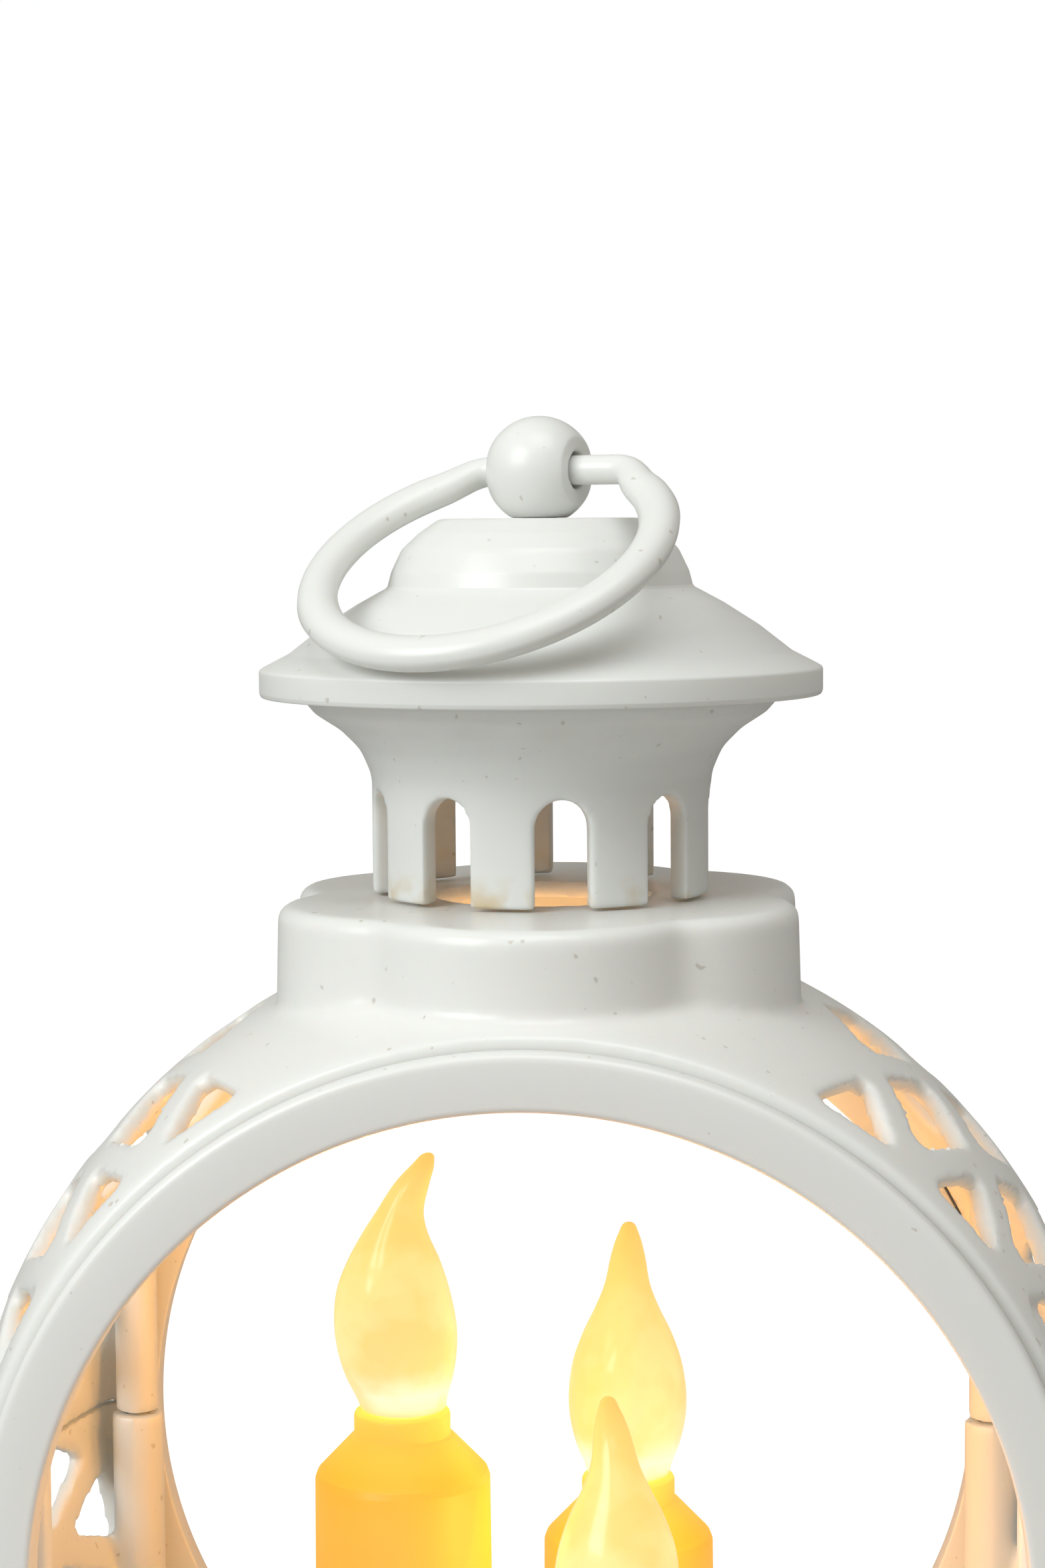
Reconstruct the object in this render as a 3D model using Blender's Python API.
"""Table lantern with three battery candles in a round see-through drum.

Frame: +Z up, the front faces -Y, and the origin lies under the middle of the base,
on the surface that the rubber feet stand on. Sizes in this file are in millimetres;
mm() turns them into metres where a mesh is made.
"""
import math

import bmesh
import bpy
from mathutils import Matrix, Vector

# ---------------------------------------------------------------- driving dimensions (mm)
GAP = 0.3                      # clearance between pieces that touch

# cells and the tray that holds them
CELL_R, CELL_LENGTH = 5.25, 44.5
CELL_APART = 1.1               # between the two cells
SPRING_SPACE = 5.0             # contacts and springs, both ends together
CONTACT_T, SPRING_H = 0.5, 2.2
BOX_WALL = 1.2
CELL_ROOM = 0.5                # over the cells
BOX_SIDE_ROOM = 0.6            # beside the cells

# base
FOOT_H, FOOT_R = 1.5, 3.2
PLATE_T = 2.0
CAVITY_MARGIN = 1.1            # the cavity's lobes over the least that the tray needs
TIER_WALL = 2.3                # cavity to the tier's side
SLAB_STEP = 6.5                # how far the slab stands out past the tier
SLAB_TOP = 10.0
SEAT_T = 2.6                   # plinth between its cavity and the drum
TIER_RISE = 17.0               # the tier's top over the drum's lowest point
FOOT_IN = 4.0                  # feet, in from the slab's edge
PLATE_SCREW_IN = 3.6           # plate screws, in from the cavity's edge
PLATE_SCREW_R, PLATE_HEAD_R = 1.3, 2.3
PLATE_SCREW_BITE = 3.2         # of a plate screw over the plate
DOOR_IN_X, DOOR_IN_Y = 1.25, 0.65   # the door inside the tray's hollow
DOOR_SCREW_IN = 3.6            # from the door's end to its screw
SWITCH_OUT = 8.65              # switch and board, from the tray's side to their middles
SWITCH_TRAVEL = 3.0
KNOB_HALF = 1.5
DRUM_SCREW_X, DRUM_SCREW_OUT = 11.5, 6.15   # the two screws into the drum, outside the tray
DRUM_SCREW_R, DRUM_HEAD_R = 1.5, 2.8
BOSS_R = 3.4
WIRE_R = 0.8
WIRE_HOLE_OUT, WIRE_HOLE_R = 7.15, 3.0

# drum
DRUM_R = 65.0                  # drum radius at its widest
DRUM_DROP = 6.0                # smaller by this where it meets a bezel
DRUM_HALF = 40.0               # half depth over both bezels
DRUM_WALL = 2.2
BULGE_POWER = 2.3              # how late the drum's side curves in towards its ends

BEZEL_IN = 1.4                 # the bezel's edge, in from the drum's end
BEZEL_WIDE = 6.2
BEZEL_T = 3.0
SPIGOT_IN, SPIGOT_LENGTH = 2.2, 2.0   # ring on a bezel's back that plugs into the drum

LATTICE_PITCH = 14.5           # degrees from one lattice cell to the next
LATTICE_START = 34.3           # degrees from straight up to the first cell's middle
LATTICE_CELLS = 4              # cells on each side of each half
RIB_W = 4.6
BAND_W = 6.4                   # solid bands at the drum's ends, bezel included

POST_IN_X, POST_IN_Y = 11.7, 8.3      # posts, in from the drum's side and its ends
PIN_POST_R, SOCKET_POST_R = 2.7, 3.2
PIN_R, PIN_LENGTH = 1.3, 7.0

# collar and head; heights are steps up from the collar's top
COLLAR_IN = 5.2                # the collar's front and rear lobes, in from the drum's ends
COLLAR_END_R, COLLAR_SIDE_R = 22.5, 20.3      # its front and rear lobes, its four side lobes
COLLAR_SIDE_X, COLLAR_SIDE_SHARE = 8.4, 0.73  # side lobes' middles: out, and back as a share
COLLAR_BLEND = 0.5             # softness of the valleys between the lobes
COLLAR_RISE = 4.2              # its top over the drum's widest radius
COLLAR_DROP = 15.2             # from its top to its foot inside the drum's wall
COLLAR_WALL = 2.0
COLLAR_HOLE_R = 12.0

CUPOLA_R = 19.1
CUPOLA_WALL = 2.3
COLUMNS = 9
COLUMN_ANGLE = 21.6            # degrees that one column spans
FIRST_COLUMN = -10.0           # degrees from the front, to the right
WINDOW_H = 12.1
NECK_H = 13.6                  # the cupola's neck flares from here
FLARE = ((1.3, 3.0), (3.5, 5.2), (6.3, 7.0), (7.9, 8.9))   # out from the wall, up from the neck

EAVE_OUT = 4.6                 # the eave stands out past the neck
EAVE_H, EAVE_BAND = 22.5, 3.3
KNEE_IN, KNEE_H = 7.0, 4.5     # bend in the roof's slope: in from the eave, over it
DOME_R, DOME_RISE = 17.3, 8.7
DOME_CURVE = ((0.0, 0.0), (-0.45, 1.9), (-1.75, 4.3), (-3.7, 6.3))
FLAT_IN, FLAT_RISE = 6.0, 7.7  # the dome's flat top: in from its foot, over it
ROOF_WALL = 2.2

BALL_R = 6.1
BALL_RISE = 5.3                # the ball's centre over the dome's flat top
BALL_FLAT = 4.8                # from the ball's centre to the flat round each bore mouth
STUD_R, STUD_LENGTH = 1.6, 8.3
NUT_R, NUT_T = 3.2, 2.4

AXLE_R = 1.65                  # straight stretch of the ring handle, in the ball's bore
BORE_R = 2.1
AXLE_YAW = 24.7                # degrees that the bore's right end turns to the front
AXLE_HALF = 7.6                # half of the straight stretch
RING_R = 19.0                  # middle line of the ring
RING_PAST = 5.7                # the ring's far side, past the eave's radius
RING_SHIFT = 1.9               # the ring lies pushed this far along the bore
RING_WIDE, RING_THICK = 4.4, 3.6
RING_REST = 2.49               # the ring's middle line over the eave where it rests

# candles
CANDLE_R, CANDLE_DRAFT = 10.4, 0.4
CANDLE_WALL = 1.3
SHOULDER = 4.6                 # height of the cone over the body
NECK_RING_R, NECK_RING_H = 5.5, 2.7
FLAME_H, FLAME_R = 29.6, 6.95
FLAME_SOCKET_R, FLAME_SOCKET = 2.9, 5.0
LED_R = 2.4
DECK_UNDER = 0.6               # the deck's top, under the bezel opening's lowest point
DECK_T = 2.0
DECK_IN = 7.0                  # the deck's front and rear edges, in from the bezels
DECK_LAP = 1.5                 # the deck, wider than the drum's chord at its underside
DECK_CORNER = 5.0
DECK_HOLE_R = 3.0

# name, x, y, height of the flame's tip above the drum's axis, turn of the flame (degrees)
CANDLES = (
    ("tall", -16.3, -2.5, 39.9, 0.0),
    ("mid", 9.0, 12.6, 28.0, 88.0),
    ("short", 8.3, -12.6, 13.9, 105.0),
)

# ---------------------------------------------------------------- sizes that follow from them
PLATE_BOTTOM = FOOT_H
PLATE_TOP = PLATE_BOTTOM + PLATE_T
CELL_SPACING = 2 * CELL_R + CELL_APART
CELL_Z = PLATE_TOP + GAP + CELL_R
BOX_TOP = CELL_Z + CELL_R + CELL_ROOM + BOX_WALL
BOX_HALF_X = CELL_LENGTH / 2 + SPRING_SPACE / 2 + 1.0
BOX_HALF_Y = CELL_SPACING / 2 + CELL_R + BOX_SIDE_ROOM
BOX_SIDE = BOX_HALF_Y + BOX_WALL
DOOR_HALF_X, DOOR_HALF_Y = BOX_HALF_X - DOOR_IN_X, BOX_HALF_Y - DOOR_IN_Y
SWITCH_Y, BOARD_Y = -(BOX_SIDE + SWITCH_OUT), BOX_SIDE + SWITCH_OUT
SCREW_AT = (DRUM_SCREW_X, BOX_SIDE + DRUM_SCREW_OUT)
WIRE_HOLE_Y = BOX_SIDE + WIRE_HOLE_OUT

LOBE_CENTRE, LOBE_FILLET = 0.42, 0.2            # shares of a lobed outline's half width


def lobed_reach_for(x, y):
    """Least half width of a lobed outline whose round lobes clear a corner at x, y."""
    a = (1 - LOBE_CENTRE) ** 2 - LOBE_CENTRE ** 2
    b = 2 * LOBE_CENTRE * x
    return (math.sqrt(b * b + 4 * a * (x * x + y * y)) - b) / (2 * a)


CAVITY_REACH = lobed_reach_for(BOX_HALF_X + BOX_WALL, BOX_SIDE) + CAVITY_MARGIN
CAVITY_TOP = BOX_TOP + GAP + 0.1
TIER_REACH = CAVITY_REACH + TIER_WALL           # tier between the slab and the drum
PLINTH_REACH = TIER_REACH + SLAB_STEP           # foot slab of the base
PLATE_SCREW_AT = CAVITY_REACH - PLATE_SCREW_IN
FOOT_AT = PLINTH_REACH - FOOT_IN

DRUM_LIFT = CAVITY_TOP + SEAT_T                 # the drum's lowest point
DRUM_Z = DRUM_LIFT + DRUM_R                     # the drum's axis
TIER_TOP = DRUM_LIFT + TIER_RISE
DRUM_END_R = DRUM_R - DRUM_DROP
DRUM_MOUTH = DRUM_HALF - BEZEL_T + GAP          # end face of the drum's shell
BEZEL_R = DRUM_END_R - BEZEL_IN
OPENING_R = BEZEL_R - BEZEL_WIDE                # see-through opening
SPIGOT_R = BEZEL_R - SPIGOT_IN
BAND_EDGE = DRUM_HALF - BAND_W
LATTICE_ROW = (BAND_EDGE + 1.2) / 2             # from one row of crossings to the next
POST_X, POST_Y = DRUM_R - POST_IN_X, DRUM_HALF - POST_IN_Y
POST_REACH = 0.62 * DRUM_R                      # long enough to meet the drum's side

COLLAR_TOP = DRUM_R + COLLAR_RISE               # these heights are above the drum's axis
COLLAR_BOTTOM = COLLAR_TOP - COLLAR_DROP
COLLAR_END_Y = DRUM_HALF - COLLAR_IN - COLLAR_END_R
WINDOW_TOP = COLLAR_TOP + WINDOW_H
NECK_START = COLLAR_TOP + NECK_H
NECK_R = CUPOLA_R + FLARE[-1][0]
EAVE_R = NECK_R + EAVE_OUT
EAVE_BOTTOM = COLLAR_TOP + EAVE_H
EAVE_TOP = EAVE_BOTTOM + EAVE_BAND
DOME_FOOT = EAVE_TOP + DOME_RISE
FLAT_R, FLAT_Z = DOME_R - FLAT_IN, DOME_FOOT + FLAT_RISE
BALL_Z = FLAT_Z + BALL_RISE
RING_REACH = EAVE_R + RING_PAST - RING_R        # from the bore's axis to the ring's centre
RING_DROOP = math.degrees(math.asin((BALL_Z - EAVE_TOP - RING_REST) / (RING_REACH + RING_R)))

CANDLE_TOP_R = CANDLE_R - CANDLE_DRAFT
DECK_Z = DRUM_Z - OPENING_R - DECK_UNDER        # top of the deck that the candles stand on
DECK_HALF_Y = DRUM_HALF - DECK_IN
DECK_HALF_X = DECK_LAP + math.sqrt((DRUM_R - DRUM_WALL - GAP) ** 2
                                   - (DRUM_Z - DECK_Z + DECK_T) ** 2)


# ---------------------------------------------------------------- helpers
def mm(*values):
    return Vector([v / 1000.0 for v in values])


def clear_scene():
    for obj in list(bpy.data.objects):
        bpy.data.objects.remove(obj, do_unlink=True)


def material(name, color, roughness, metallic=0.0, emission=0.0):
    mat = bpy.data.materials.new(name)
    mat.use_nodes = True
    bsdf = mat.node_tree.nodes["Principled BSDF"]
    bsdf.inputs["Base Color"].default_value = (*color, 1.0)
    bsdf.inputs["Roughness"].default_value = roughness
    bsdf.inputs["Metallic"].default_value = metallic
    if emission:
        bsdf.inputs["Emission Color"].default_value = (*color, 1.0)
        bsdf.inputs["Emission Strength"].default_value = emission
    return mat


def make_object(name, bm, mat=None, smooth=True):
    bmesh.ops.remove_doubles(bm, verts=bm.verts, dist=1e-7)
    bent = [face for face in bm.faces if len(face.verts) > 3 and not smooth]
    bmesh.ops.triangulate(bm, faces=bent)
    bmesh.ops.recalc_face_normals(bm, faces=bm.faces)
    mesh = bpy.data.meshes.new(name)
    bm.to_mesh(mesh)
    bm.free()
    obj = bpy.data.objects.new(name, mesh)
    bpy.context.scene.collection.objects.link(obj)
    if mat:
        mesh.materials.append(mat)
    if smooth:
        mesh.shade_smooth()
        mesh.set_sharp_from_angle(angle=math.radians(35))
    return obj


def cutter(obj):
    obj.hide_render = True
    obj.display_type = "WIRE"
    return obj


def boolean(obj, tool, operation="DIFFERENCE"):
    mod = obj.modifiers.new(operation.lower(), "BOOLEAN")
    mod.operation = operation
    mod.solver = "EXACT"
    mod.object = cutter(tool)
    return mod


def turned(name, profile, mat=None, steps=48, axis="Z", centre=(0, 0, 0), closed=True):
    """Turn a profile of (radius, height) points about an axis through centre."""
    bm = bmesh.new()
    origin = mm(*centre)
    points = []
    for radius, height in profile:
        place = (radius, 0, height) if axis == "Z" else (0, height, radius)
        points.append(bm.verts.new(origin + mm(*place)))
    edges = [bm.edges.new(pair) for pair in zip(points, points[1:])]
    if closed:
        edges.append(bm.edges.new((points[-1], points[0])))
    direction = (0, 0, 1) if axis == "Z" else (0, 1, 0)
    bmesh.ops.spin(bm, geom=points + edges, cent=origin, axis=direction,
                   angle=2 * math.pi, steps=steps)
    bmesh.ops.remove_doubles(bm, verts=bm.verts, dist=2e-6)
    return make_object(name, bm, mat)


def loft(name, rings, mat=None, loop=False, smooth=True):
    """Skin a stack of closed outlines (lists of points in mm) that match point for point."""
    bm = bmesh.new()
    rows = [[bm.verts.new(mm(*p)) for p in ring] for ring in rings]
    pairs = list(zip(rows, rows[1:]))
    if loop:
        pairs.append((rows[-1], rows[0]))
    for low, high in pairs:
        for i in range(len(low)):
            j = (i + 1) % len(low)
            bm.faces.new((low[i], low[j], high[j], high[i]))
    if not loop:
        bm.faces.new(rows[0])
        bm.faces.new(rows[-1])
    return make_object(name, bm, mat, smooth)


def cylinder(name, radius, bottom, top, at=(0, 0), mat=None, sides=24):
    return turned(name, [(0, bottom), (radius, bottom), (radius, top), (0, top)],
                  mat, sides, centre=(at[0], at[1], 0), closed=False)


def block(name, low, high, mat=None):
    outline = [(low[0], low[1]), (high[0], low[1]), (high[0], high[1]), (low[0], high[1])]
    return loft(name, [[(x, y, z) for x, y in outline] for z in (low[2], high[2])], mat,
                smooth=False)


def joined(name, parts, mat=None):
    """Put the meshes of several separate pieces into one object."""
    bm = bmesh.new()
    for part in parts:
        bm.from_mesh(part.data)
        bpy.data.objects.remove(part, do_unlink=True)
    return make_object(name, bm, mat)


def arc(centre, radius, start, end, count):
    """Points on a circular arc in a plane, angles in degrees."""
    angles = [math.radians(start + (end - start) * i / count) for i in range(count + 1)]
    return [(centre[0] + radius * math.cos(a), centre[1] + radius * math.sin(a))
            for a in angles]


def corners(distance):
    """The four places straight out along the lobes."""
    return [(distance, 0.0), (0.0, distance), (-distance, 0.0), (0.0, -distance)]


def opposite(at):
    """A place and the one straight across the axis from it."""
    return [at, (-at[0], -at[1])]


def lobed(reach, inset=0.0, lobe_steps=6, valley_steps=3):
    """Outline of four round lobes with soft valleys between, reach being its half width."""
    centre = reach * LOBE_CENTRE
    radius = reach - centre
    fillet = reach * LOBE_FILLET
    diagonal = (centre + math.sqrt(2 * (radius + fillet) ** 2 - centre ** 2)) / 2
    spread = math.degrees(math.atan2(diagonal, diagonal - centre))
    points = []
    for quarter in range(4):
        turn = math.radians(90 * quarter)
        lobe = arc((centre, 0), radius - inset, -spread, spread, lobe_steps)
        valley = arc((diagonal, diagonal), fillet + inset, 180 + spread, 270 - spread,
                     valley_steps)
        for x, y in lobe + valley[1:-1]:
            points.append((x * math.cos(turn) - y * math.sin(turn),
                           x * math.sin(turn) + y * math.cos(turn)))
    return points


def lobed_prism(name, reach, levels, mat=None, **steps):
    """Stack of lobed outlines; levels are (inset, height) pairs."""
    rings = [[(x, y, z) for x, y in lobed(reach, inset, **steps)] for inset, z in levels]
    return loft(name, rings, mat)


def collar_outline(inset, count):
    """Outline of six round lobes, two at the ends and two on each side, with soft valleys."""
    side_y = COLLAR_SIDE_SHARE * COLLAR_END_Y
    lobes = [(0.0, s * COLLAR_END_Y, COLLAR_END_R) for s in (1, -1)]
    lobes += [(a * COLLAR_SIDE_X, b * side_y, COLLAR_SIDE_R) for a in (1, -1) for b in (1, -1)]
    outline = []
    for step in range(count):
        turn = 2 * math.pi * (step + 0.5) / count
        out = []
        for x, y, radius in lobes:
            along = x * math.cos(turn) + y * math.sin(turn)
            across = x * math.sin(turn) - y * math.cos(turn)
            out.append(along + math.sqrt(radius ** 2 - across ** 2))
        most = max(out)
        blend = sum(math.exp((o - most) / COLLAR_BLEND) for o in out)
        reach = most + COLLAR_BLEND * math.log(blend) - inset
        outline.append((reach * math.cos(turn), reach * math.sin(turn)))
    return outline


def collar_stack(name, levels, count):
    """Stack of collar outlines; levels are (inset, height) pairs."""
    return loft(name, [[(x, y, z) for x, y in collar_outline(inset, count)]
                       for inset, z in levels])


# ---------------------------------------------------------------- the drum
def drum_radius(y):
    """Outer radius of the drum's side at depth y."""
    share = min(abs(y) / DRUM_MOUTH, 1.0)
    return DRUM_R - (DRUM_R - DRUM_END_R) * share ** BULGE_POWER


DRUM_STATIONS = [DRUM_MOUTH * s for s in (-1, -0.65, 0, 0.65, 1)]


def drum_side(offset):
    return [(drum_radius(y) + offset, y) for y in DRUM_STATIONS]


def drum_section():
    """Closed section of the drum's shell, with a lip behind each bezel."""
    lip_r = SPIGOT_R + GAP
    lip_y = DRUM_MOUTH - DRUM_WALL
    inner = [(r, y) for r, y in drum_side(-DRUM_WALL) if abs(y) < lip_y]
    mouth = DRUM_MOUTH
    return (drum_side(0.0) + [(lip_r, mouth), (lip_r, lip_y), (drum_radius(lip_y) - DRUM_WALL, lip_y)]
            + inner[::-1]
            + [(drum_radius(lip_y) - DRUM_WALL, -lip_y), (lip_r, -lip_y), (lip_r, -mouth)])


def drum_body(name, offset=0.0, steps=40):
    """Solid of the drum's outside, larger by offset."""
    side = drum_side(offset)
    ends = DRUM_MOUTH + max(offset, 0.0)
    profile = [(0, -ends), (side[0][0], -ends)] + side[1:-1] + [(side[-1][0], ends), (0, ends)]
    return turned(name, profile, None, steps, "Y", (0, 0, DRUM_Z), closed=False)


def on_drum(angle, along, depth, radius):
    """A point at angle (degrees from up), moved along the side by an arc length."""
    turn = math.radians(angle) + along / DRUM_R
    return (radius * math.sin(turn), depth, DRUM_Z + radius * math.cos(turn))


def lattice_shapes():
    """Outlines (arc length, depth) of one cell's openings: triangles and diamonds."""
    half_pitch = math.radians(LATTICE_PITCH / 2) * DRUM_R
    slant = math.atan2(half_pitch, LATTICE_ROW)
    along_half = half_pitch - RIB_W / 2 / math.cos(slant)
    depth_half = LATTICE_ROW - RIB_W / 2 / math.sin(slant)
    blunt = 0.16                                   # share of a corner that is rounded off

    def diamond(shift, depth):
        tips = [(0, -depth_half), (along_half, 0), (0, depth_half), (-along_half, 0)]
        outline = []
        for i, tip in enumerate(tips):
            before, after = tips[i - 1], tips[(i + 1) % 4]
            for other in (before, after):
                outline.append((shift + tip[0] + (other[0] - tip[0]) * blunt,
                                depth + tip[1] + (other[1] - tip[1]) * blunt))
        return outline

    apex = LATTICE_ROW + RIB_W / 2 / math.sin(slant)
    base_half = (BAND_EDGE - apex) * math.tan(slant)
    triangle = [(-base_half, -BAND_EDGE), (base_half, -BAND_EDGE), (0.9, -apex - 1.2),
                (-0.9, -apex - 1.2)]
    far_triangle = [(s, -y) for s, y in triangle[::-1]]
    half = half_pitch
    return [triangle, far_triangle, diamond(0, 0), diamond(half, -LATTICE_ROW),
            diamond(half, LATTICE_ROW)]


def lattice_cutter(name, upward):
    """All openings of one half of the drum, as radial wedges through its wall."""
    bm = bmesh.new()
    for side in (-1, 1):
        for cell in range(LATTICE_CELLS):
            angle = LATTICE_START + LATTICE_PITCH * cell
            for outline in lattice_shapes():
                rows = []
                for radius in (DRUM_END_R - 8, DRUM_R + 4):
                    ring = []
                    for along, depth in outline:
                        x, y, z = on_drum(angle, along, depth, radius)
                        up = z - DRUM_Z if upward else DRUM_Z - z
                        ring.append(bm.verts.new(mm(side * x, y, DRUM_Z + up)))
                    rows.append(ring)
                count = len(outline)
                for i in range(count):
                    j = (i + 1) % count
                    bm.faces.new((rows[0][i], rows[0][j], rows[1][j], rows[1][i]))
                bm.faces.new(rows[0])
                bm.faces.new(rows[1])
    return make_object(name, bm, None, smooth=False)


def post_group(name, radius, low, high):
    return joined(name, [cylinder(f"{name}_{i}", radius, low, high, (sx * POST_X, sy * POST_Y),
                                  sides=14)
                         for i, (sx, sy) in enumerate(((1, 1), (1, -1), (-1, 1), (-1, -1)))])


def half_drum(name, mat, upward):
    """One half of the drum's shell with its lattice cut out."""
    shell = turned(name, drum_section(), mat, 40, "Y", (0, 0, DRUM_Z))
    big = DRUM_R * 2
    if upward:
        away = block(f"{name}_away", (-big, -big, DRUM_Z - big), (big, big, DRUM_Z + GAP / 2))
    else:
        away = block(f"{name}_away", (-big, -big, DRUM_Z - GAP / 2), (big, big, DRUM_Z + big))
    boolean(shell, away)
    return shell


def drum_upper(mat):
    """Upper half: lobed collar, lattice, and posts that end in pins."""
    top = half_drum("drum_upper", mat, True)
    collar_z = DRUM_Z + COLLAR_TOP
    collar = collar_stack("collar_body", [(-0.4, DRUM_Z + COLLAR_BOTTOM), (0, collar_z - 1.4),
                                          (0.4, collar_z - 0.4), (1.4, collar_z)], 56)
    boolean(collar, drum_body("collar_limit", -DRUM_WALL / 2))
    boolean(top, collar, "UNION")
    hollow = collar_stack("collar_hollow", [(COLLAR_WALL, DRUM_Z + COLLAR_BOTTOM - 12),
                                            (COLLAR_WALL, collar_z - COLLAR_WALL)], 40)
    boolean(top, hollow)
    boolean(top, cylinder("collar_hole", COLLAR_HOLE_R, collar_z - 6, collar_z + 4, sides=32))
    boolean(top, lattice_cutter("lattice_upper", True))
    posts = post_group("upper_posts", PIN_POST_R, DRUM_Z + GAP / 2, DRUM_Z + POST_REACH)
    boolean(posts, drum_body("post_limit_upper", -DRUM_WALL / 2), "INTERSECT")
    boolean(top, posts, "UNION")
    pins = post_group("upper_pins", PIN_R, DRUM_Z - PIN_LENGTH, DRUM_Z + 3)
    boolean(top, pins, "UNION")
    return top


def drum_lower(mat):
    """Lower half: lattice, posts with sockets, and bosses for the plinth's screws."""
    low = half_drum("drum_lower", mat, False)
    boolean(low, lattice_cutter("lattice_lower", False))
    posts = post_group("lower_posts", SOCKET_POST_R, DRUM_Z - POST_REACH, DRUM_Z - GAP / 2)
    boolean(posts, drum_body("post_limit_lower", -DRUM_WALL / 2), "INTERSECT")
    boolean(low, posts, "UNION")
    boolean(low, post_group("sockets", PIN_R + GAP, DRUM_Z - PIN_LENGTH - 1, DRUM_Z + 2))
    boss_top = DECK_Z - DECK_T - GAP
    bosses = joined("bosses", [cylinder(f"boss_{i}", BOSS_R, 5, boss_top, at, sides=16)
                               for i, at in enumerate(opposite(SCREW_AT))])
    boolean(bosses, drum_body("boss_limit", -DRUM_WALL / 2), "INTERSECT")
    boolean(low, bosses, "UNION")
    boolean(low, joined("boss_holes", [cylinder(f"boss_hole_{i}", DRUM_SCREW_R + GAP, 5, boss_top - 1.5,
                                                at, sides=12)
                                       for i, at in enumerate(opposite(SCREW_AT))]))
    boolean(low, cylinder("drum_wire_hole", WIRE_HOLE_R, 5, DRUM_Z - 44, (0, WIRE_HOLE_Y),
                          sides=16))
    return low


def bezel(name, mat, facing):
    """Flat ring over the drum's mouth; facing is -1 for the front and 1 for the rear."""
    face, back = DRUM_HALF, DRUM_HALF - BEZEL_T + 2 * GAP
    profile = [(OPENING_R, face - 0.6), (OPENING_R + 0.6, face), (BEZEL_R - 1.1, face),
               (BEZEL_R, face - 1.1), (BEZEL_R, back), (SPIGOT_R, back),
               (SPIGOT_R, back - SPIGOT_LENGTH), (OPENING_R, back - SPIGOT_LENGTH)]
    return turned(name, [(r, facing * y) for r, y in profile], mat, 48, "Y", (0, 0, DRUM_Z))


# ---------------------------------------------------------------- the head
def cupola(mat):
    """Round wall on nine columns, flaring out to carry the roof."""
    foot = DRUM_Z + COLLAR_TOP + GAP
    start = DRUM_Z + NECK_START
    rim = DRUM_Z + EAVE_TOP - 0.4
    flare = ([(CUPOLA_R, foot), (CUPOLA_R, start)]
             + [(CUPOLA_R + out, start + up) for out, up in FLARE] + [(NECK_R, rim)])
    inner = [(r - CUPOLA_WALL, z + 0.6 * (r - CUPOLA_R) / 8) for r, z in flare[1:-1]]
    inner = [(CUPOLA_R - CUPOLA_WALL, foot)] + inner + [(NECK_R - CUPOLA_WALL, rim)]
    wall = turned("cupola", flare + inner[::-1], mat, 45)
    pitch = 360.0 / COLUMNS
    half = CUPOLA_R * math.sin(math.radians((pitch - COLUMN_ANGLE) / 2))
    top = DRUM_Z + WINDOW_TOP
    arch = [(half, foot - 3)] + arc((0, top - half), half, 0, 180, 6) + [(-half, foot - 3)]
    bm = bmesh.new()
    for window in range(COLUMNS):
        angle = math.radians(FIRST_COLUMN + pitch * (window + 0.5))
        out = Vector((math.sin(angle), -math.cos(angle)))
        side = Vector((math.cos(angle), math.sin(angle)))
        rows = []
        for reach, widen in ((CUPOLA_R - 6, 0.86), (CUPOLA_R + 4, 1.06)):
            ring = [out * reach + side * (s * widen) for s, z in arch]
            rows.append([bm.verts.new(mm(p.x, p.y, z)) for p, (s, z) in zip(ring, arch)])
        count = len(arch)
        for i in range(count):
            j = (i + 1) % count
            bm.faces.new((rows[0][i], rows[0][j], rows[1][j], rows[1][i]))
        bm.faces.new(rows[0])
        bm.faces.new(rows[1])
    boolean(wall, make_object("windows", bm, None, smooth=False))
    return wall


def roof(mat):
    """Eave band, sloping roof and flat-topped dome, hollow from below."""
    z = DRUM_Z
    outer = [(EAVE_R - 0.4, z + EAVE_BOTTOM), (EAVE_R, z + EAVE_BOTTOM + 0.6),
             (EAVE_R, z + EAVE_TOP - 0.9), (EAVE_R - 0.6, z + EAVE_TOP)]
    outer += [(EAVE_R - KNEE_IN, z + EAVE_TOP + KNEE_H)]
    outer += [(DOME_R + dr, z + DOME_FOOT + dz) for dr, dz in DOME_CURVE]
    outer += [(FLAT_R, z + FLAT_Z)]
    hole = STUD_R + GAP
    inner = [(hole, z + FLAT_Z - ROOF_WALL), (FLAT_R - 1.2, z + FLAT_Z - ROOF_WALL),
             (DOME_R - 2.6, z + DOME_FOOT), (EAVE_R - 4.2, z + EAVE_TOP + 0.4),
             (EAVE_R - ROOF_WALL, z + EAVE_TOP - 2.0), (EAVE_R - ROOF_WALL, z + EAVE_BOTTOM)]
    return turned("roof", outer + [(hole, z + FLAT_Z)] + inner, mat, 40)


def axle_direction():
    yaw = math.radians(AXLE_YAW)
    return Vector((math.cos(yaw), -math.sin(yaw), 0))


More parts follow.
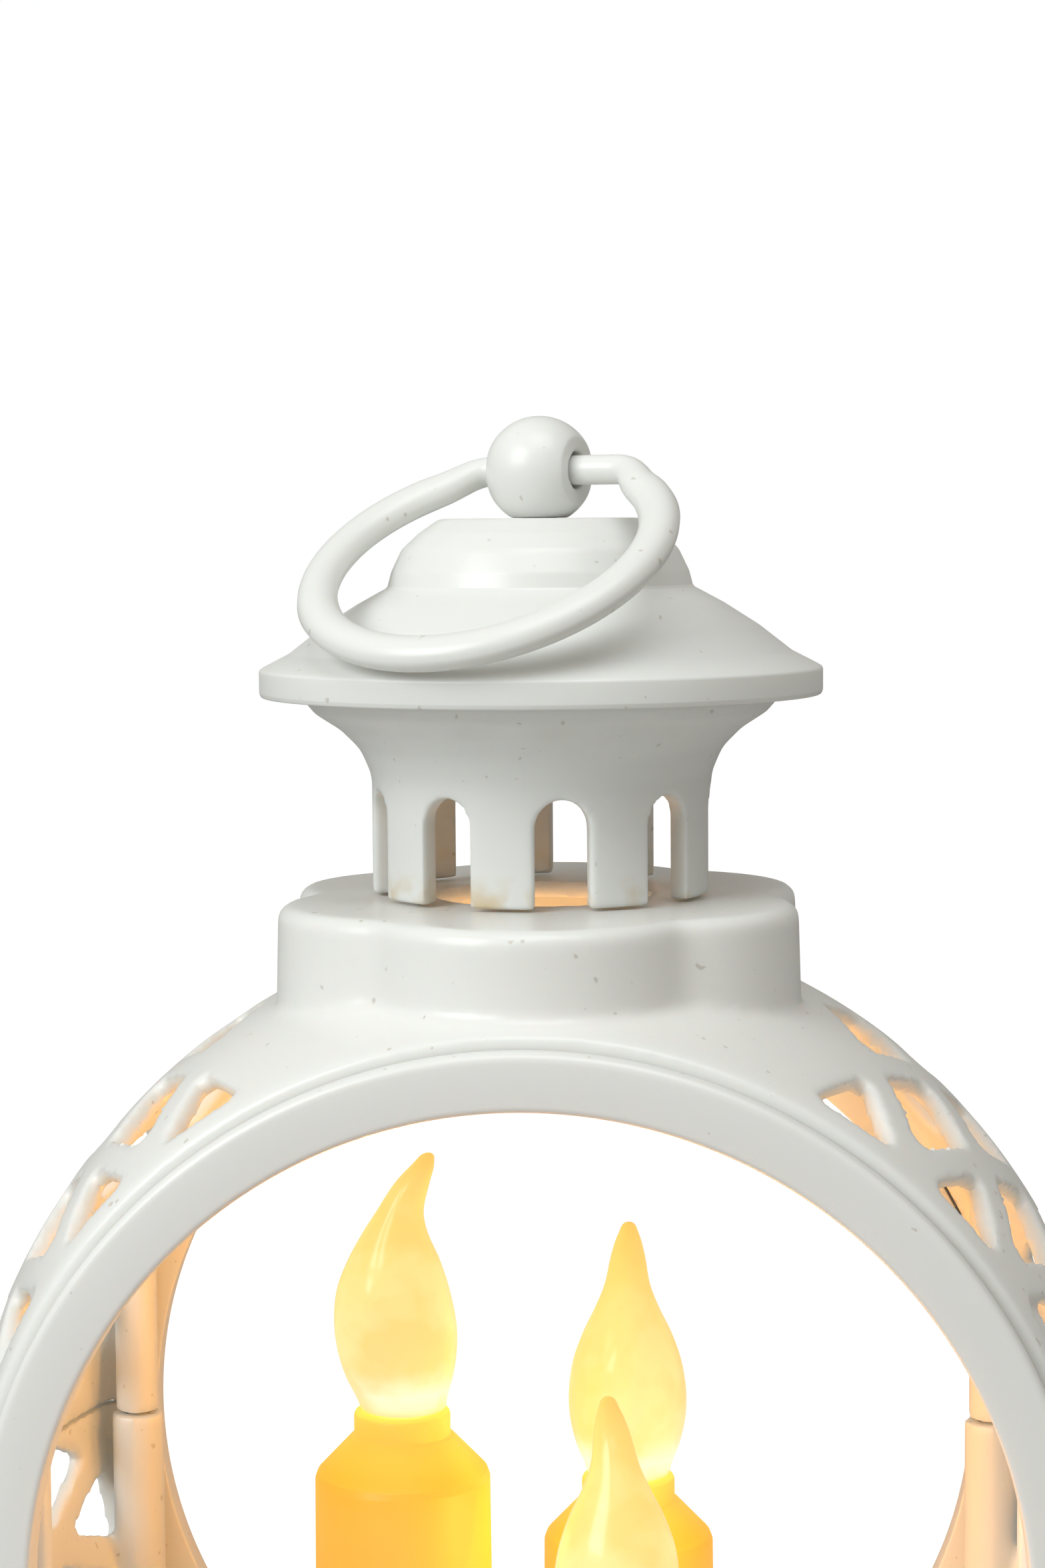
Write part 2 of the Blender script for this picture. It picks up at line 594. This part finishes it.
def finial(mat):
    """Ball with a flat round each mouth of its cross bore, and a stud below."""
    z = DRUM_Z + BALL_Z
    floor = DRUM_Z + FLAT_Z + GAP
    lowest = math.degrees(math.asin((floor - z) / BALL_R))
    ball = [(BALL_R * math.cos(math.radians(a)), z + BALL_R * math.sin(math.radians(a)))
            for a in [lowest + (90 - lowest) * i / 9 for i in range(9)]]
    stud_end = DRUM_Z + FLAT_Z - STUD_LENGTH
    profile = [(0, stud_end), (STUD_R, stud_end), (STUD_R, floor)] + ball + [(0, z + BALL_R)]
    body = turned("finial_ball", profile, mat, 24, closed=False)
    direction = axle_direction()
    turn = Matrix.Rotation(math.radians(-AXLE_YAW), 4, "Z")
    for side in (-1, 1):
        slab = block(f"ball_flat_{side}", (-4, -BALL_R - 2, -BALL_R - 2),
                     (4, BALL_R + 2, BALL_R + 2))
        slab.matrix_world = Matrix.Translation(direction * (side * (BALL_FLAT + 4) / 1000)
                                               + mm(0, 0, z)) @ turn
        boolean(body, slab)
    through = 2 * BALL_R
    bore = turned("ball_bore", [(0, -through), (BORE_R, -through), (BORE_R, through),
                                (0, through)], None, 16, closed=False)
    bore.matrix_world = (Matrix.Translation(mm(0, 0, z)) @ turn
                         @ Matrix.Rotation(math.radians(90), 4, "Y"))
    boolean(body, bore)
    return body


def finial_nut(mat):
    """Hexagon nut on the stud, inside the dome."""
    top = DRUM_Z + FLAT_Z - ROOF_WALL - GAP
    return turned("finial_nut", [(STUD_R + GAP, top - NUT_T), (NUT_R, top - NUT_T), (NUT_R, top),
                                 (STUD_R + GAP, top)], mat, 6)


def ring_path():
    """Middle line of the ring handle in its own plane: (along the axle, away from it)."""
    straight = AXLE_HALF
    join = 42.0                               # degrees round from the axle where the arc starts
    points = [(x, 0.0) for x in (-straight, -straight / 2, 0.0, straight / 2)]
    start = Vector((straight, 0.0))
    end = Vector((RING_R * math.sin(math.radians(join)),
                  RING_REACH - RING_R * math.cos(math.radians(join))))
    leave = Vector((1.0, 0.0)) * 2.6
    arrive = Vector((math.cos(math.radians(join)), math.sin(math.radians(join)))) * 2.6
    corner = []
    for i in range(5):
        t = i / 5
        p = ((1 - t) ** 3 * start + 3 * (1 - t) ** 2 * t * (start + leave)
             + 3 * (1 - t) * t ** 2 * (end - arrive) + t ** 3 * end)
        corner.append((p.x, p.y))
    around = [(RING_R * math.sin(math.radians(a)), RING_REACH - RING_R * math.cos(math.radians(a)))
              for a in [join + (360 - 2 * join) * i / 26 for i in range(27)]]
    back = [(-x, y) for x, y in corner[:0:-1]]
    return points + corner + around + back


def ring_handle(mat):
    """Ring with a straight axle stretch through the ball, resting on the eave."""
    axle = axle_direction()
    droop = math.radians(RING_DROOP)
    level = Vector((0, 0, 1)).cross(axle) * -1
    away = level * math.cos(droop) - Vector((0, 0, 1)) * math.sin(droop)
    normal = axle.cross(away).normalized()
    centre = Vector((0, 0, DRUM_Z + BALL_Z)) + axle * RING_SHIFT
    path = ring_path()
    rings = []
    for i, (x, y) in enumerate(path):
        before, after = path[i - 1], path[(i + 1) % len(path)]
        tangent = Vector((after[0] - before[0], after[1] - before[1])).normalized()
        across = axle * -tangent.y + away * tangent.x
        share = min(max(y / 5.0, 0.0), 1.0)
        wide = AXLE_R + (RING_WIDE / 2 - AXLE_R) * share
        thick = AXLE_R + (RING_THICK / 2 - AXLE_R) * share
        middle = centre + axle * x + away * y
        ring = []
        for k in range(10):
            a = 2 * math.pi * k / 10
            ring.append(middle + across * (wide * math.cos(a)) + normal * (thick * math.sin(a)))
        rings.append(ring)
    return loft("ring_handle", rings, mat, loop=True)


# ---------------------------------------------------------------- the candles
def flame_base(tip):
    return DRUM_Z + tip - FLAME_H


def flame_section(t):
    """Radius and sideways lean of the flame at share t of its height."""
    swell = FLAME_R * math.sin(math.pi * (0.245 + 0.755 * t) ** 1.12) ** 0.92
    radius = max(swell, 0.0) + 0.75 * t ** 6
    lean = -1.5 * math.sin(math.pi * min(t / 0.72, 1.0)) + 4.1 * max(t - 0.62, 0.0) ** 1.4 / 0.38
    return radius, lean


def flame(name, x, y, tip, turn, mat):
    """Leaning teardrop bulb with a socket in its foot."""
    base = flame_base(tip)
    angle = math.radians(turn)
    rings = []
    for i in range(11):
        t = i / 10
        radius, lean = flame_section(t)
        cx, cy = x + lean * math.cos(angle), y + lean * math.sin(angle)
        rings.append([(cx + radius * math.cos(a), cy + radius * math.sin(a),
                       base + GAP + (FLAME_H - GAP) * t)
                      for a in [2 * math.pi * k / 12 for k in range(12)]])
    body = loft(f"flame_{name}", rings, mat)
    boolean(body, cylinder(f"flame_socket_{name}", FLAME_SOCKET_R, base - 1,
                           base + FLAME_SOCKET, (x, y), sides=12))
    return body


def candle(name, x, y, tip, mat):
    """Hollow candle body: drafted tube, cone and neck ring."""
    top = flame_base(tip)
    ring = top - NECK_RING_H
    shoulder = ring - SHOULDER
    foot = DECK_Z + GAP
    bore = FLAME_SOCKET_R
    profile = [(CANDLE_R, foot), (CANDLE_TOP_R, shoulder - 0.8), (CANDLE_TOP_R - 0.5, shoulder),
               (NECK_RING_R + 0.4, ring - 0.4), (NECK_RING_R, ring), (NECK_RING_R, top - 0.6),
               (NECK_RING_R - 0.5, top), (bore, top), (bore, ring - 1.0),
               (CANDLE_TOP_R - CANDLE_WALL - 0.8, shoulder - 0.6),
               (CANDLE_TOP_R - CANDLE_WALL, shoulder - 2.0), (CANDLE_R - CANDLE_WALL, foot)]
    return turned(f"candle_{name}", profile, mat, 20, centre=(x, y, 0))


def led(name, x, y, tip, mat):
    base = flame_base(tip)
    dome = [(LED_R * math.cos(math.radians(a)), base + 1.6 + LED_R * math.sin(math.radians(a)))
            for a in (0, 30, 60)]
    profile = [(0, base - 4.0), (LED_R, base - 4.0)] + dome + [(0, base + 1.6 + LED_R)]
    return turned(f"led_{name}", profile, mat, 14, centre=(x, y, 0), closed=False)


def led_wire(name, x, y, tip, mat):
    """Twin lead from the driver board, under the deck and up inside the candle."""
    top = flame_base(tip) - 4.0 - GAP
    under = DECK_Z - DECK_T - 3.0
    x0, y0 = {"tall": (-1.7, 0.6), "mid": (1.7, 0.6), "short": (0.0, -1.6)}[name]
    y0 += WIRE_HOLE_Y
    route = [Vector((x0, y0, PLATE_TOP + 6.3)), Vector((x0, y0, 15)),
             Vector((x0, y0, under - 3)), Vector(((x0 + x) / 2, (y0 + y) / 2, under)),
             Vector((x, y, under + 2)), Vector((x, y, DECK_Z + 5)), Vector((x, y, top))]
    points = []
    for i in range(len(route) - 1):
        p0, p1 = route[max(i - 1, 0)], route[i]
        p2, p3 = route[i + 1], route[min(i + 2, len(route) - 1)]
        for k in range(3):
            t = k / 3
            points.append(0.5 * (2 * p1 + (p2 - p0) * t + (2 * p0 - 5 * p1 + 4 * p2 - p3) * t ** 2
                                 + (3 * p1 - p0 - 3 * p2 + p3) * t ** 3))
    points.append(route[-1])
    curve = bpy.data.curves.new(f"led_wire_{name}", "CURVE")
    curve.dimensions = "3D"
    curve.bevel_depth = WIRE_R / 1000
    curve.bevel_resolution = 2
    curve.use_fill_caps = True
    spline = curve.splines.new("POLY")
    spline.points.add(len(points) - 1)
    for slot, p in zip(spline.points, points):
        slot.co = (*mm(*p), 1.0)
    curve.materials.append(mat)
    wire = bpy.data.objects.new(f"led_wire_{name}", curve)
    bpy.context.scene.collection.objects.link(wire)
    return wire


def candle_deck(mat):
    """Floor in the drum that the candles stand on."""
    x, y = DECK_HALF_X - DECK_CORNER, DECK_HALF_Y - DECK_CORNER
    outline = []
    for i, centre in enumerate(((x, y), (-x, y), (-x, -y), (x, -y))):
        outline += arc(centre, DECK_CORNER, 90 * i, 90 * i + 90, 4)
    deck = loft("candle_deck", [[(x, y, z) for x, y in outline]
                                for z in (DECK_Z - DECK_T, DECK_Z)], mat, smooth=False)
    boolean(deck, drum_body("deck_limit", -DRUM_WALL - GAP), "INTERSECT")
    boolean(deck, joined("deck_holes", [cylinder(f"deck_hole_{name}", DECK_HOLE_R, DECK_Z - 9, DECK_Z + 9,
                                                 (x, y), sides=16)
                                        for name, x, y, tip, turn in CANDLES]))
    return deck


# ---------------------------------------------------------------- the base
def plinth(mat):
    """Two lobed tiers that cradle the drum, hollow from below."""
    slab = lobed_prism("plinth", PLINTH_REACH,
                       [(0.3, FOOT_H), (0, FOOT_H + 1), (0, SLAB_TOP - 2.2), (0.6, SLAB_TOP - 0.7),
                        (2.0, SLAB_TOP)], mat)
    tier = lobed_prism("plinth_tier", TIER_REACH, [(-0.3, SLAB_TOP - 4), (0, TIER_TOP)])
    boolean(slab, tier, "UNION")
    boolean(slab, drum_body("plinth_seat", GAP, 40))
    for side in (-1, 1):                       # room for a bezel over a tier that reaches it
        ends = sorted((side * DRUM_MOUTH, side * (DRUM_HALF + PLINTH_REACH)))
        boolean(slab, turned(f"bezel_seat_{side}",
                             [(0, ends[0]), (BEZEL_R + GAP, ends[0]), (BEZEL_R + GAP, ends[1]),
                              (0, ends[1])], None, 40, "Y", (0, 0, DRUM_Z), closed=False))
    hollow = lobed_prism("plinth_hollow", CAVITY_REACH, [(0, -5), (0, CAVITY_TOP)])
    boolean(slab, hollow)
    holes = [cylinder(f"plinth_screw_hole_{i}", DRUM_SCREW_R + GAP, 5, TIER_TOP + 4, at, sides=12)
             for i, at in enumerate(opposite(SCREW_AT))]
    holes.append(cylinder("plinth_wire_hole", WIRE_HOLE_R, 5, TIER_TOP + 4, (0, WIRE_HOLE_Y),
                          sides=16))
    boolean(slab, joined("plinth_holes", holes))
    return slab


def plinth_screws(mat):
    """Two screws up through the plinth into the drum's bosses."""
    head_top = CAVITY_TOP - GAP
    end = DECK_Z - DECK_T - 2.6
    profile = [(0, head_top - 1.6), (DRUM_HEAD_R - 0.6, head_top - 1.6),
               (DRUM_HEAD_R, head_top - 0.9), (DRUM_HEAD_R, head_top), (DRUM_SCREW_R, head_top),
               (DRUM_SCREW_R, end), (0, end)]
    for name, at in zip(("rear", "front"), opposite(SCREW_AT)):
        turned(f"plinth_screw_{name}", profile, mat, 10, centre=(*at, 0), closed=False)


def base_plate(mat):
    """Bottom plate with the battery opening, the switch slot and its screw holes."""
    plate = lobed_prism("base_plate", CAVITY_REACH - GAP, [(0, PLATE_BOTTOM), (0, PLATE_TOP)], mat)
    boolean(plate, block("door_opening", (-DOOR_HALF_X - GAP, -DOOR_HALF_Y - GAP, -5),
                         (DOOR_HALF_X + GAP, DOOR_HALF_Y + GAP, 9)))
    slot_half = SWITCH_TRAVEL / 2 + KNOB_HALF + GAP
    boolean(plate, block("switch_slot", (-slot_half, SWITCH_Y - KNOB_HALF - GAP, -5),
                         (slot_half, SWITCH_Y + KNOB_HALF + GAP, 9)))
    boolean(plate, joined("plate_holes", [cylinder(f"plate_hole_{i}", PLATE_SCREW_R + GAP, -5, 9, at,
                                                   sides=12)
                                          for i, at in enumerate(corners(PLATE_SCREW_AT))]))
    return plate


def screw_profile(end):
    """Pan head under the base plate and a shank up to end."""
    low = PLATE_BOTTOM - GAP
    return [(0, low - 0.9), (PLATE_HEAD_R - 0.4, low - 0.9), (PLATE_HEAD_R, low - 0.5),
            (PLATE_HEAD_R, low), (PLATE_SCREW_R, low), (PLATE_SCREW_R, end), (0, end)]


def base_screws(mat):
    """Four pan-head screws under the base plate."""
    for i, at in enumerate(corners(PLATE_SCREW_AT)):
        turned(f"base_screw_{i + 1}", screw_profile(PLATE_TOP + PLATE_SCREW_BITE), mat, 10,
               centre=(*at, 0), closed=False)


def rubber_feet(mat):
    profile = [(0, 0), (FOOT_R - 0.4, 0), (FOOT_R, 0.4), (FOOT_R, FOOT_H - GAP),
               (0, FOOT_H - GAP)]
    for i, at in enumerate(corners(FOOT_AT)):
        turned(f"rubber_foot_{i + 1}", profile, mat, 16, centre=(*at, 0), closed=False)


def battery_box(mat):
    """Tray, open below, that holds two cells side by side."""
    half_x, half_y = BOX_HALF_X, BOX_HALF_Y
    low = PLATE_TOP + GAP
    box = block("battery_box", (-half_x - BOX_WALL, -half_y - BOX_WALL, low),
                (half_x + BOX_WALL, half_y + BOX_WALL, BOX_TOP), mat)
    boolean(box, block("box_hollow", (-half_x, -half_y, low - 5), (half_x, half_y, BOX_TOP - BOX_WALL)))
    return box


def battery_cell(name, y, flip, mat):
    """Cell lying along X, its button at the end that flip gives."""
    half = CELL_LENGTH / 2
    profile = [(0, -half), (CELL_R - 0.4, -half), (CELL_R, -half + 0.4), (CELL_R, half - 1.4),
               (CELL_R - 0.5, half - 1.0), (1.9, half - 1.0), (1.9, half), (0, half)]
    cell = turned(name, [(r, flip * h) for r, h in profile], mat, 16, closed=False)
    cell.matrix_world = (Matrix.Translation(mm(0.0, y, CELL_Z))
                         @ Matrix.Rotation(math.radians(90), 4, "Y"))
    return cell


def contact(name, x, mat):
    """Sprung contact plate at one end of the battery box."""
    z, side = CELL_Z, 1 if x > 0 else -1
    half_y, half_z = BOX_HALF_Y - 1.45, CELL_R - 1.05
    plate = block(name, (x - CONTACT_T / 2, -half_y, z - half_z),
                  (x + CONTACT_T / 2, half_y, z + half_z), mat)
    springs = []
    for i, y in enumerate((-CELL_SPACING / 2, CELL_SPACING / 2)):
        spring = turned(f"{name}_spring_{i}", [(0, 0), (3.0, 0), (1.5, SPRING_H), (0, SPRING_H)],
                        None, 12,
                        closed=False)
        spring.data.transform(Matrix.Translation(mm(x, y, z))
                              @ Matrix.Rotation(math.radians(-90 * side), 4, "Y"))
        springs.append(spring)
    boolean(plate, joined(f"{name}_springs", springs), "UNION")
    return plate


def battery_door(mat):
    """Flush door in the base plate, with a hole for its screw."""
    door = block("battery_door", (-DOOR_HALF_X, -DOOR_HALF_Y, PLATE_BOTTOM),
                 (DOOR_HALF_X, DOOR_HALF_Y, PLATE_TOP), mat)
    boolean(door, cylinder("door_hole", PLATE_SCREW_R + GAP, -5, 9,
                           (DOOR_HALF_X - DOOR_SCREW_IN, 0), sides=12))
    return door


def door_screw(mat):
    return turned("door_screw", screw_profile(PLATE_TOP - 0.1), mat, 10,
                  centre=(DOOR_HALF_X - DOOR_SCREW_IN, 0, 0), closed=False)


def switch(mat_body, mat_knob):
    """Slide switch over its slot: a fixed case and a knob that travels along X."""
    low = PLATE_TOP + GAP
    body = block("switch_body", (-6.0, SWITCH_Y - 3.0, low), (6.0, SWITCH_Y + 3.0, low + 5.0), mat_body)
    boolean(body, block("switch_hollow", (-4.6, SWITCH_Y - 2.1, low - 3), (4.6, SWITCH_Y + 2.1, low + 2.4)))
    rest = -SWITCH_TRAVEL / 2
    knob = block("switch_slider", (rest - KNOB_HALF, SWITCH_Y - KNOB_HALF, PLATE_BOTTOM + 0.2),
                 (rest + KNOB_HALF, SWITCH_Y + KNOB_HALF, low + 2.1), mat_knob)
    return body, knob


def driver_board(mat):
    """Small board behind the battery box that drives the three lamps."""
    low = PLATE_TOP + 2.0
    board = block("driver_board", (-10, BOARD_Y - 5.5, low), (10, BOARD_Y + 4.5, low + 1.2), mat)
    boolean(board, block("board_chip", (4, BOARD_Y - 3, low + 0.6), (8, BOARD_Y + 1.5, low + 2.4)),
            "UNION")
    return board


def build():
    clear_scene()
    white = material("white_plastic", (0.83, 0.84, 0.82), 0.28)
    wax = material("candle_plastic", (0.95, 0.62, 0.22), 0.45)
    glow = material("flame_lens", (1.0, 0.86, 0.42), 0.35, emission=2.0)
    lamp = material("led_epoxy", (1.0, 0.95, 0.8), 0.15, emission=6.0)
    steel = material("screw_steel", (0.62, 0.63, 0.64), 0.3, 1.0)
    rubber = material("foot_rubber", (0.05, 0.05, 0.05), 0.85)
    sleeve = material("cell_sleeve", (0.12, 0.13, 0.15), 0.35)
    green = material("circuit_board", (0.03, 0.22, 0.09), 0.4)
    black = material("black_plastic", (0.03, 0.03, 0.03), 0.4)
    lead = material("wire_cover", (0.85, 0.85, 0.83), 0.4)

    drum_upper(white)
    drum_lower(white)
    bezel("front_bezel", white, -1)
    bezel("rear_bezel", white, 1)
    cupola(white)
    roof(white)
    finial(white)
    finial_nut(steel)
    ring_handle(white)
    candle_deck(white)
    for name, x, y, tip, turn in CANDLES:
        candle(name, x, y, tip, wax)
        flame(name, x, y, tip, turn, glow)
        led(name, x, y, tip, lamp)
        led_wire(name, x, y, tip, lead)
    plinth(white)
    plinth_screws(steel)
    base_plate(white)
    base_screws(steel)
    rubber_feet(rubber)
    battery_box(black)
    battery_cell("cell_front", -CELL_SPACING / 2, 1, sleeve)
    battery_cell("cell_rear", CELL_SPACING / 2, -1, sleeve)
    contact("contacts_left", -BOX_HALF_X + CONTACT_T / 2 + GAP, steel)
    contact("contacts_right", BOX_HALF_X - CONTACT_T / 2 - GAP, steel)
    battery_door(white)
    door_screw(steel)
    switch(black, black)
    driver_board(green)


build()
